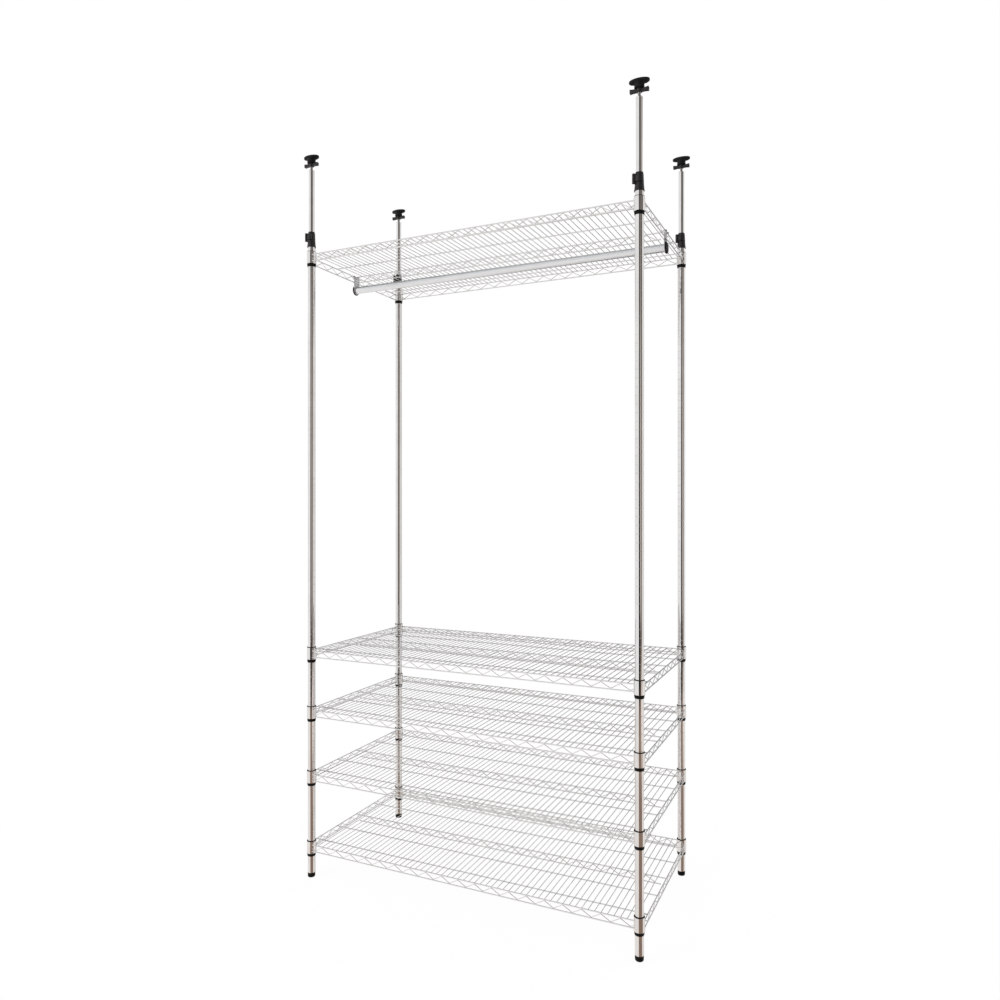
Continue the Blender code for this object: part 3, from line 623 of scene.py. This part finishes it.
# jack handles: waisted bar with square flared ends, moulded round the head of a threaded bolt
handleLook = dict(length=55.0 * mm, width=8.8 * mm, height=9.8 * mm, flare=1.18, flareFrom=18.0 * mm)
handleLook.update(endZone=1.0 * mm, bevel=1.1 * mm, bevelSteps=3, bevelAngle=0.8, gap=0.3 * mm)
handleLook.update(hub=8.5 * mm, hubTall=11.0 * mm, hubEdge=0.8 * mm, spigot=5.5 * mm, spigotEdge=0.4 * mm)
handleLook.update(bolt=4.3 * mm, boltIn=1.0 * mm, pitch=1.5 * mm, depth=0.8 * mm)
handleLook.update(segments=40, boltSegments=28)


def flaredBar(bm, middle):
    look = handleLook
    bar = bmesh.ops.create_cube(bm, size=1.0)["verts"]
    bmesh.ops.scale(bm, vec=(look["length"], look["width"], look["height"]), verts=bar)
    for side in (-1, 1):
        faces = list({face for vert in bar for face in vert.link_faces})
        around = list({edge for face in faces for edge in face.edges})
        around += list({vert for face in faces for vert in face.verts})
        plane = dict(plane_co=(side * look["flareFrom"], 0, 0), plane_no=(1, 0, 0))
        bar += vertsOf(bmesh.ops.bisect_plane(bm, geom=faces + around, **plane)["geom_cut"])
    ends = [vert for vert in bar if abs(vert.co.x) > look["length"] / 2 - look["endZone"]]
    bmesh.ops.scale(bm, vec=(1, look["flare"], look["flare"]), verts=ends)
    edges = {edge for vert in bar for edge in vert.link_edges}
    crisp = [edge for edge in edges if edge.calc_face_angle(0) > look["bevelAngle"]]
    bmesh.ops.translate(bm, vec=middle, verts=soften(bm, crisp, bar, look["bevel"], look["bevelSteps"]))


def makeHandle(corner):
    node = "jack_handle_" + corner
    low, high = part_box(node)
    look = handleLook
    centre = axisOf(node)
    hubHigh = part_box("ceiling_pad_" + corner)[0].z - look["gap"]
    hubLow = hubHigh - look["hubTall"]
    hub, edge = look["hub"], look["hubEdge"]
    spigot, spigotEdge = look["spigot"], look["spigotEdge"]
    profile = [(0, high.z), (spigot - spigotEdge, high.z), (spigot, high.z - spigotEdge), (spigot, hubHigh)]
    profile += [(hub - edge, hubHigh), (hub, hubHigh - edge), (hub, hubLow + edge), (hub - edge, hubLow)]
    bm = bmesh.new()
    lathe(bm, [*profile, (0, hubLow)], centre, look["segments"])
    flaredBar(bm, (centre.x, centre.y, (hubLow + hubHigh) / 2))
    finishPiece("moulded_" + node, bm, hardFinish, node, [node], sharpAngle["soft"])
    boltTop = hubLow + look["boltIn"]
    thread = threadProfile(look["bolt"], low.z, boltTop, look["pitch"], look["depth"])
    bm = bmesh.new()
    lathe(bm, [(0, boltTop), *thread, (0, low.z)], centre, look["boltSegments"])
    finishPiece("jack_bolt_" + corner, bm, boltFinish, node, [node], sharpAngle["crisp"])


# ceiling pads: oval plate with a soft edge on a slightly tapered boss
padLook = dict(thick=8.0 * mm, sides=72, edge=2.6 * mm, edgeSteps=4, segments=48)
padLook.update(boss=14.6 * mm, bossEdge=0.8 * mm, bossTop=14.0 * mm, bossIn=3.0 * mm)
padLook.update(fillet=1.2 * mm, filletOut=0.5 * mm, filletDown=0.6 * mm)
padLook.update(socket=5.7 * mm, socketDeep=11.2 * mm)


def makePad(corner):
    node = "ceiling_pad_" + corner
    low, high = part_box(node)
    look = padLook
    centre = axisOf(node)
    bm = bmesh.new()
    disc = dict(segments=look["sides"], radius1=1, radius2=1, depth=1)
    plate = bmesh.ops.create_cone(bm, cap_ends=True, **disc)["verts"]
    size = ((high.x - low.x) / 2, (high.y - low.y) / 2, look["thick"])
    bmesh.ops.scale(bm, vec=size, verts=plate)
    soften(bm, levelEdges(bm.edges), plate, look["edge"], look["edgeSteps"])
    bmesh.ops.translate(bm, vec=(centre.x, centre.y, high.z - look["thick"] / 2), verts=bm.verts)
    under = high.z - look["thick"]
    boss, top, edge = look["boss"], look["bossTop"], look["bossEdge"]
    socket, socketTop = look["socket"], low.z + look["socketDeep"]
    profile = [(0, under + look["bossIn"]), (top + look["fillet"], under + look["bossIn"])]
    profile += [(top + look["fillet"], under), (top + look["filletOut"], under - look["filletDown"])]
    profile += [(top, under - look["fillet"]), (boss, low.z + edge), (boss - edge, low.z)]
    profile += [(socket, low.z), (socket, socketTop), (0, socketTop)]
    lathe(bm, profile, centre, look["segments"])
    finishPiece("oval_" + node, bm, softFinishWithPaintedShade, node, [node], sharpAngle["soft"])


# hanger bar: thin bright tube
barLook = dict(wall=1.0 * mm, edge=0.2 * mm, segments=56)


def sideways(side):  # turned pieces are made about Z and laid along X
    return Matrix.Rotation(side * math.pi / 2, 4, "Y")


def makeBar():
    node = "hanger_bar"
    low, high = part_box(node)
    radius, half = (high.z - low.z) / 2, (high.x - low.x) / 2
    edge = barLook["edge"]
    inner = radius - barLook["wall"]
    profile = [(inner, half), (radius - edge, half), (radius, half - edge), (radius, edge - half)]
    profile += [(radius - edge, -half), (inner, -half)]
    bm = bmesh.new()
    lathe(bm, ringed(profile), Vector(), barLook["segments"])
    bmesh.ops.transform(bm, matrix=Matrix.Translation(axisOf(node)) @ sideways(1), verts=bm.verts)
    finishPiece("bright_" + node, bm, barFinish, "frame", [node], sharpAngle["crisp"])


# bar caps: black plugs with a dished face and a rounded rim
capLook = dict(gap=0.3 * mm, edge=1.2 * mm, rollIn=0.3, rollDown=0.35, backEdge=0.5 * mm, segments=56)
capLook.update(dish=0.6 * mm, dishFloor=0.62, dishRim=0.66)  # depth, then shares of the radius
capLook.update(spigotGap=0.2 * mm, spigot=12.0 * mm, spigotEdge=(0.6 * mm, 0.4 * mm))


def makeCap(name, side):
    node = "bar_cap_" + name
    low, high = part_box(node)
    barLow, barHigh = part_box("hanger_bar")
    look = capLook
    radius = (high.z - low.z) / 2
    inside = barHigh.x + look["gap"]
    thick = (high.x if side > 0 else -low.x) - inside
    edge, back = look["edge"], look["backEdge"]
    spigot = (barHigh.z - barLow.z) / 2 - barLook["wall"] - look["spigotGap"]
    spigotIn, spigotBack = look["spigotEdge"]
    profile = [(0, thick - look["dish"]), (radius * look["dishFloor"], thick - look["dish"])]
    profile += [(radius * look["dishRim"], thick), (radius - edge, thick)]
    profile += [(radius - look["rollIn"] * edge, thick - look["rollDown"] * edge), (radius, thick - edge)]
    profile += [(radius, back), (radius - back, 0), (spigot, 0), (spigot, spigotBack - look["spigot"])]
    profile += [(spigot - spigotIn, -look["spigot"]), (0, -look["spigot"])]
    bm = bmesh.new()
    lathe(bm, profile, Vector(), look["segments"])
    place = Matrix.Translation((side * inside, axisOf(node).y, axisOf(node).z)) @ sideways(side)
    bmesh.ops.transform(bm, matrix=place, verts=bm.verts)
    finishPiece("moulded_" + node, bm, deepFinish, "frame", [node], sharpAngle["soft"])


# bar brackets: round-ended plate on the bar with two hooks over the top shelf's side rail
bracketLook = dict(thick=2.0 * mm, bevel=0.4 * mm, bevelSteps=2, webDrop=16.5 * mm)
bracketLook.update(roundSteps=24, holeGap=0.2 * mm, holeSides=48)
bracketLook.update(hookWidth=5.5 * mm, hookSpacing=25.0 * mm, hookDrop=3.7 * mm, hookFoot=6.0 * mm)
bracketLook.update(hookBend=1.6 * mm, bendSteps=6, hookSet=0.1 * mm)


def bracketPlate(bm, half, webTop, holeRadius):  # flat, with the bar's axis at the origin
    look = bracketLook
    outside = [(-half, webTop), *arcPoints(half, math.pi, fullTurn, look["roundSteps"]), (half, webTop)]
    last = look["holeSides"] - 1
    inside = arcPoints(holeRadius, 0, fullTurn * last / look["holeSides"], last)
    edges = []
    for line in (outside, inside):
        ring = [bm.verts.new((x, y, 0)) for x, y in line]
        edges += [bm.edges.new(pair) for pair in zip(ring, ring[1:] + ring[:1])]
    bmesh.ops.triangle_fill(bm, edges=edges, use_beauty=True, use_dissolve=False)
    grown = bmesh.ops.extrude_face_region(bm, geom=list(bm.faces))["geom"]
    bmesh.ops.translate(bm, vec=(0, 0, look["thick"]), verts=vertsOf(grown))


def hookOutline(near, far, end, top, foot):  # seen from the front: up the plate, over the rail and down
    look = bracketLook
    bend, steps = look["hookBend"], look["bendSteps"]
    under = top - look["thick"]
    lip = under - look["hookDrop"]
    outline = [(near, foot), *arcPoints(bend, math.pi, math.pi / 2, steps, (near + bend, top - bend))]
    outline += [*arcPoints(bend, math.pi / 2, 0, steps, (end - bend, top - bend)), (end, lip)]
    return outline + [(end - look["thick"], lip), (end - look["thick"], under), (far, under), (far, foot)]


def makeBracket(name, side):
    node = "bar_bracket_" + name
    low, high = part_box(node)
    barLow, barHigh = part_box("hanger_bar")
    look = bracketLook
    bar = axisOf("hanger_bar")
    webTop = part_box("shelf_5")[1].z - look["webDrop"] - bar.z
    bm = bmesh.new()
    bracketPlate(bm, (high.y - low.y) / 2, webTop, (barHigh.z - barLow.z) / 2 + look["holeGap"])
    plateIn = barHigh.x - look["thick"]
    upright = Matrix(((0, 0, side, side * plateIn), (side, 0, 0, bar.y), (0, 1, 0, bar.z), (0, 0, 0, 1)))
    bmesh.ops.transform(bm, matrix=upright, verts=bm.verts)
    end = high.x if side > 0 else -low.x
    inset = look["hookSet"]
    hook = hookOutline(plateIn + inset, barHigh.x - inset, end, high.z, bar.z + webTop - look["hookFoot"])
    for place in (-1, 1):
        start = place * look["hookSpacing"] / 2 - look["hookWidth"] / 2
        across = Matrix(((side, 0, 0, 0), (0, 0, 1, start), (0, 1, 0, 0), (0, 0, 0, 1)))
        slab(bm, hook, look["hookWidth"], look["bevel"], look["bevelSteps"], across)
    finishPiece("pressed_" + node, bm, plateFinish, "frame", [node], sharpAngle["crisp"])


# floor: plain white, with a soft shadow near the unit
floorLook = dict(size=60.0, cells=8, drop=0.5 * mm, colour=(0.88, 0.88, 0.88), glow=0.95, fade=(0.8, 2.0))


def makeFloor():
    look = floorLook
    bm = bmesh.new()
    bmesh.ops.create_grid(bm, x_segments=look["cells"], y_segments=look["cells"], size=look["size"] / 2)
    mesh = bpy.data.meshes.new("floor")
    bm.to_mesh(mesh)
    bm.free()
    floor = addObject("floor", mesh)
    floor.location.z = -look["drop"]
    floor.visible_glossy = False
    material = bpy.data.materials.new("floor_white")
    material.use_nodes = True
    tree = material.node_tree
    tree.nodes.clear()
    start = Tap(tree)
    matt = start.node("ShaderNodeBsdfDiffuse", {}, {"Color": opaque(look["colour"])})
    glow = start.node("ShaderNodeEmission", {}, {"Color": (1, 1, 1, 1), "Strength": 1.0})
    place = start.node("ShaderNodeTexCoord", out="Object")
    away = start.node("ShaderNodeVectorMath", {"operation": "LENGTH"}, {0: place}, "Value")
    share = away.ease(*look["fade"], look["glow"], 1.0)
    seen = start.node("ShaderNodeLightPath", out="Is Camera Ray") * share
    mixed = start.node("ShaderNodeMixShader", {}, {0: seen, 1: matt, 2: glow})
    start.node("ShaderNodeOutputMaterial", {}, {"Surface": mixed})
    mesh.materials.append(material)


# studio that the metal reflects: pale all round, dark overhead, a dark flag at the front and a screen behind
# pairs of numbers are where a fade starts and ends, in the direction's height or in the sine of an angle
paleLook = dict(bright=(1.0, 0.99, 0.985), low=(1.0, 0.955, 0.92), lowFade=(-0.2, -0.32))
paleLook.update(above=(0.10, 0.10, 0.102), aboveRight=(0.60, 0.594, 0.588), aboveFade=(0.54, 0.66))
paleLook.update(tilt=math.radians(15), rightFade=(-0.52, -0.40), upFade=(0.48, 0.6))
paleLook.update(halo=(0.98, 0.91, 0.855), haloFacing=(0.3, 0.75), haloAcross=(-0.3, 0.3))
screenLook = dict(centre=math.radians(97), half=math.radians(24), soft=0.04, colour=(0.14, 0.137, 0.135))
flagLook = dict(centre=math.radians(-41), left=math.radians(-87.5), right=math.radians(0), soft=0.03)
flagLook.update(topFade=(0.3, 0.42), topReach=0.27, climb=(-0.15, 0.2))
flagLook.update(leftHigh=(0.12, 0.110, 0.103), leftLow=(0.0, 0.0, 0.0), leftEdge=(-0.28, -0.18))
flagLook.update(middleHigh=(0.19, 0.168, 0.153), middleLow=(0.62, 0.555, 0.51), middleFade=(0.1, 0.4))
flagLook.update(middleDeep=(0.135, 0.105, 0.09), deepFade=(-0.12, -0.18))
flagLook.update(rightTop=(0.30, 0.262, 0.235), rightHigh=(0.10, 0.084, 0.072), rightLow=(0.26, 0.228, 0.205))
flagLook.update(rightEdge=(0.20, 0.30), brown=(0.30, 0.210, 0.160), brownFade=(-0.27, -0.235))
flagLook.update(streak=(0.98, 0.85, 0.77), streakSide=(0.04, 0.14))
flagLook.update(streakTop=(-0.17, -0.255), streakFoot=(-0.37, -0.265))
studioLook = dict(fill=0.75, tiny=0.0001)


def paleRoom(x, y, z, facing, across):
    look = paleLook
    pale = z.ease(*look["lowFade"]).between(opaque(look["bright"]), opaque(look["low"]))
    ceiling = z * math.cos(look["tilt"]) + y * math.sin(look["tilt"])  # leans to the back
    opened = x.ease(*look["rightFade"]) * z.ease(*look["upFade"])  # less dark straight up and to the right
    overhead = opened.between(opaque(look["above"]), opaque(look["aboveRight"]))
    pale = ceiling.ease(*look["aboveFade"]).between(pale, overhead)
    halo = facing.ease(*look["haloFacing"]) * across.ease(*look["haloAcross"])
    return halo.between(pale, opaque(look["halo"]))


def screenMask(x, y, level):
    look = screenLook
    turned = -1 * (x * math.cos(look["centre"]) + y * math.sin(look["centre"])) / level
    edge = -math.cos(look["half"])
    return turned.ease(edge + look["soft"], edge - look["soft"])


def flagMask(x, y, z, level):  # up high the flag reaches further right
    look = flagLook
    left, right, soft = look["left"], look["right"], look["soft"]
    fromLeft = (y * math.cos(left) - x * math.sin(left)) / level
    fromRight = (x * math.sin(right) - y * math.cos(right)) / level
    fromRight = fromRight + z.ease(*look["topFade"]) * look["topReach"]
    return fromLeft.ease(-soft, soft) * fromRight.ease(-soft, soft)


def flagColour(z, across):
    look = flagLook
    climb = z.ease(*look["climb"])
    left = climb.between(opaque(look["leftLow"]), opaque(look["leftHigh"]))
    middle = z.ease(*look["middleFade"]).between(opaque(look["middleLow"]), opaque(look["middleHigh"]))
    middle = z.ease(*look["deepFade"]).between(middle, opaque(look["middleDeep"]))
    right = climb.between(opaque(look["rightLow"]), opaque(look["rightHigh"]))
    right = z.ease(*look["topFade"]).between(right, opaque(look["rightTop"]))
    colour = across.ease(*look["leftEdge"]).between(left, middle)
    colour = across.ease(*look["rightEdge"]).between(colour, right)
    colour = z.ease(*look["brownFade"]).between(opaque(look["brown"]), colour)
    streak = across.ease(*look["streakSide"]) * z.ease(*look["streakTop"]) * z.ease(*look["streakFoot"])
    return streak.between(colour, opaque(look["streak"]))


def makeStudio():
    look = studioLook
    world = bpy.data.worlds.new("studio")
    bpy.context.scene.world = world
    world.use_nodes = True
    tree = world.node_tree
    tree.nodes.clear()
    start = Tap(tree)
    direction = start.node("ShaderNodeTexCoord", out="Generated")
    split = start.node("ShaderNodeSeparateXYZ", {}, {0: direction})
    x, y, z = (Tap(tree, socket) for socket in split.socket.node.outputs)
    level = start.sum("SQRT", x * x + y * y + look["tiny"])
    ahead, aside = math.cos(flagLook["centre"]), math.sin(flagLook["centre"])
    facing = (x * ahead + y * aside) / level
    across = (y * ahead - x * aside) / level
    pale = paleRoom(x, y, z, facing, across)
    screened = screenMask(x, y, level).between(pale, opaque(screenLook["colour"]))
    room = flagMask(x, y, z, level).between(screened, flagColour(z, across))
    seen = start.node("ShaderNodeLightPath", out="Is Camera Ray")
    glossy = Tap(tree, seen.socket.node.outputs["Is Glossy Ray"])
    plain = seen.between((look["fill"], look["fill"], look["fill"], 1), (1, 1, 1, 1))
    shade = start.node("ShaderNodeBackground", {}, {"Color": glossy.between(plain, room), "Strength": 1.0})
    start.node("ShaderNodeOutputWorld", {}, {"Surface": shade})


# two soft lamps that the metal doesn't show
keyLamp = dict(place=(-2.6, -3.2, 3.6), aim=(0, 0, 1.2), size=(2.5, 2.5), power=120)
rimLamp = dict(place=(2.8, 2.4, 3.2), aim=(0, 0, 1.4), size=(2.0, 2.0), power=60)


def makeLamp(name, look):
    data = bpy.data.lights.new(name, "AREA")
    data.shape = "RECTANGLE"
    data.size, data.size_y = look["size"]
    data.energy = look["power"]
    lamp = addObject(name, data)
    lamp.location = look["place"]
    lamp.rotation_mode = "QUATERNION"
    lamp.rotation_quaternion = (Vector(look["aim"]) - Vector(look["place"])).to_track_quat("-Z", "Y")
    lamp.visible_glossy = False


makeCamera()
bpy.context.scene.view_settings.view_transform = "Standard"
for corner in corners:
    makePost(corner)
    makeFoot(corner)
    for number in shelfNumbers:
        makeSleeve(number, corner)
    makeClamp(corner)
    makeLever(corner)
    makePole(corner)
    makeHandle(corner)
    makePad(corner)
print("corner pieces made")
makeShelves()
print("shelves made")
makeBar()
for name, side in (("left", -1), ("right", 1)):
    makeCap(name, side)
    makeBracket(name, side)
print("hanger made")
makeFloor()
makeStudio()
makeLamp("key", keyLamp)
makeLamp("rim", rimLamp)
print("stage made")
